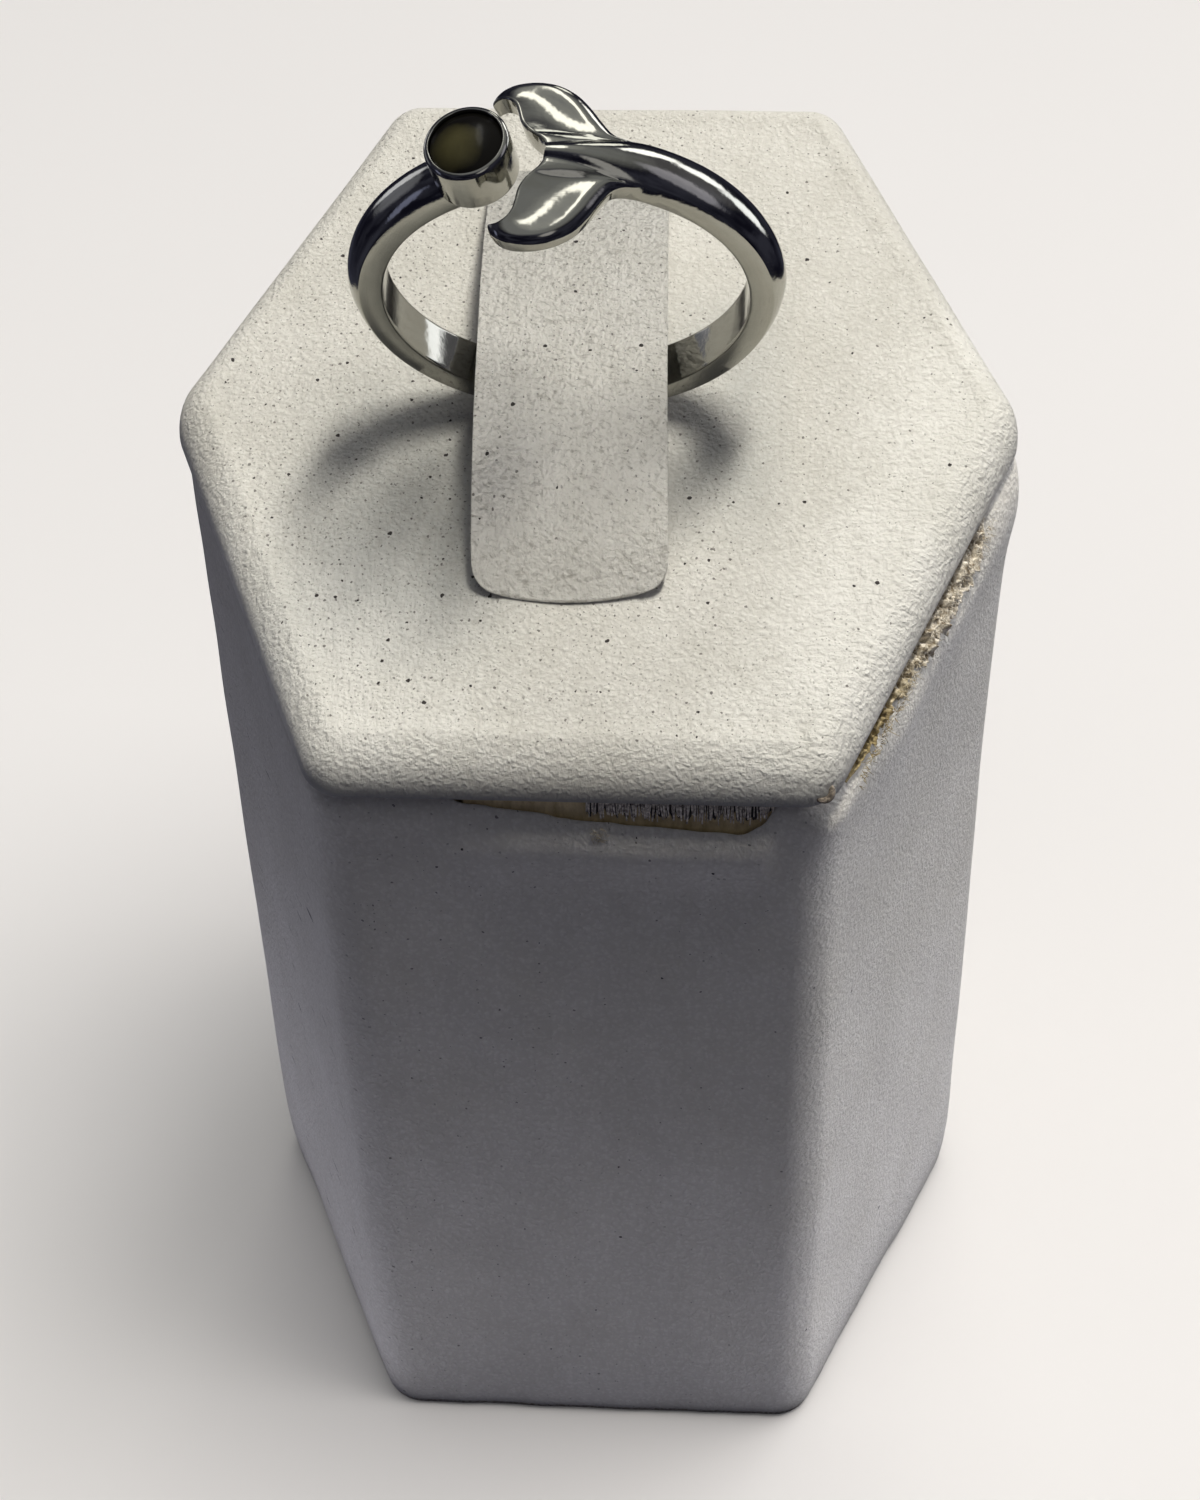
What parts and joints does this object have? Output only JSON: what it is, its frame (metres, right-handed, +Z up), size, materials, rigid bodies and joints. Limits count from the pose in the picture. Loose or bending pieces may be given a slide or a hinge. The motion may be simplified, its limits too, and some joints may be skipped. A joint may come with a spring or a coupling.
{
  "type": "whale tail ring on display stand",
  "caption": "Open silver-tone ring with a whale tail at one end and a round stone in a cup at the other, held upright by a strip on a slanted hexagonal leatherette stand.",
  "frame": {"origin": "middle of the stand's base, on the surface that it stands on", "axes": "+Z up, +X to the right as the front is looked at, -Y towards the front, which is the low side of the slanted top"},
  "size_m": [0.0426, 0.042, 0.0753],
  "materials": {
    "board": "raw yellow-brown board, seen only where the seams are torn",
    "leatherette": "off-white leatherette with a fine pebbled grain, matte",
    "silver": "polished silver-tone metal",
    "stone": "polished olive-brown cabochon, nearly opaque"
  },
  "bodies": {
    "root": {"stand_core": "board", "side_wrap": "leatherette", "top_panel": "leatherette", "clip_tongue": "leatherette", "ring": "silver", "stone": "stone"}
  },
  "joints": []
}
